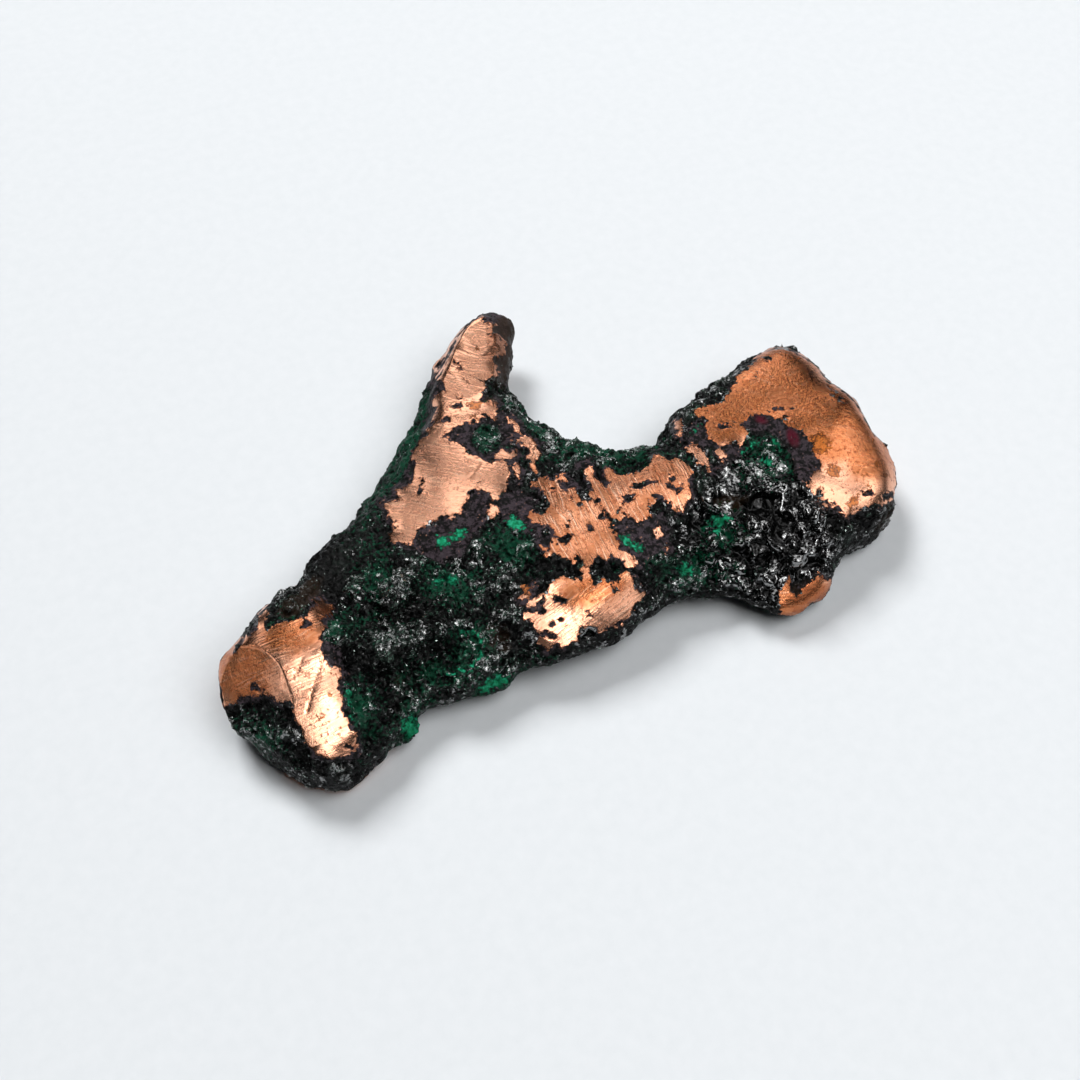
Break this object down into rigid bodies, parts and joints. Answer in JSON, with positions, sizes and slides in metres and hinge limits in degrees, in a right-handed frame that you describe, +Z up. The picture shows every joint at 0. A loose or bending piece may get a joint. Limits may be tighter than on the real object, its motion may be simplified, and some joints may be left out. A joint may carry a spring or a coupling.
{
  "type": "native copper nugget",
  "caption": "Flattened, branching nugget of native copper, worn bright on its high faces between dark crust and green malachite; a loose display specimen.",
  "frame": {"origin": "centre of the bounding box in plan, on the surface that the nugget lies on", "axes": "+X along the nugget's length, from the thick lobe with the worn end facet to the broad right lobe; +Y towards the tip of the horn; +Z up"},
  "size_m": [0.082, 0.0532, 0.0121],
  "materials": {
    "native_copper": "native copper, worn to bare metal with fine scratches on the high faces, between granular glossy black-green crust, purple-grey cuprite film and spots of green malachite"
  },
  "bodies": {
    "root": {"copper_nugget": "native_copper"}
  },
  "joints": []
}
